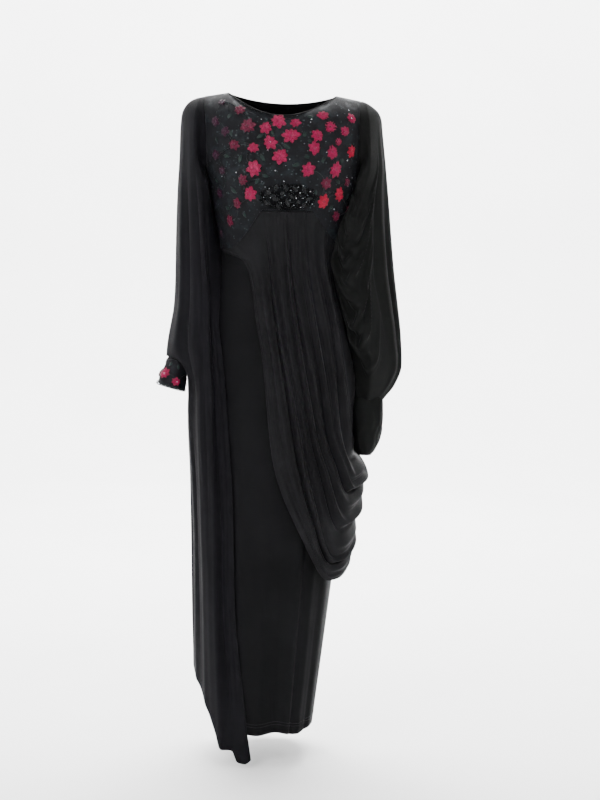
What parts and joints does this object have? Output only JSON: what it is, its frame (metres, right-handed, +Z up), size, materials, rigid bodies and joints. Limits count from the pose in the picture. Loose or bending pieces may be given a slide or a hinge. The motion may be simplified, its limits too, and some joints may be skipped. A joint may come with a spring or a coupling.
{
  "type": "kaftan",
  "caption": "Floor-length draped kaftan in black jersey with a floral embroidered yoke, batwing sleeves and a pleated side swag, worn hollow form.",
  "frame": {"origin": "middle of the shoulder line, where the wearer's shoulders carry the kaftan", "axes": "+Z up, -Y the front, +X the wearer's left"},
  "size_m": [0.543, 0.2671, 1.4686],
  "materials": {
    "black_jersey": "soft black viscose jersey with a low sheen",
    "embroidered_tulle": "black tulle over jersey, covered with magenta and orange-red satin flowers, dark leaves and crystals",
    "jet_beadwork": "faceted jet leaves and clear crystals"
  },
  "bodies": {
    "root": {"bodice_front": "embroidered_tulle", "bodice_back": "black_jersey", "waist_motif": "jet_beadwork", "skirt_front": "black_jersey", "skirt_back": "black_jersey", "drape_front": "black_jersey", "wing_right": "black_jersey", "wing_left": "black_jersey", "cuff_right": "embroidered_tulle", "cuff_left": "black_jersey"}
  },
  "joints": []
}
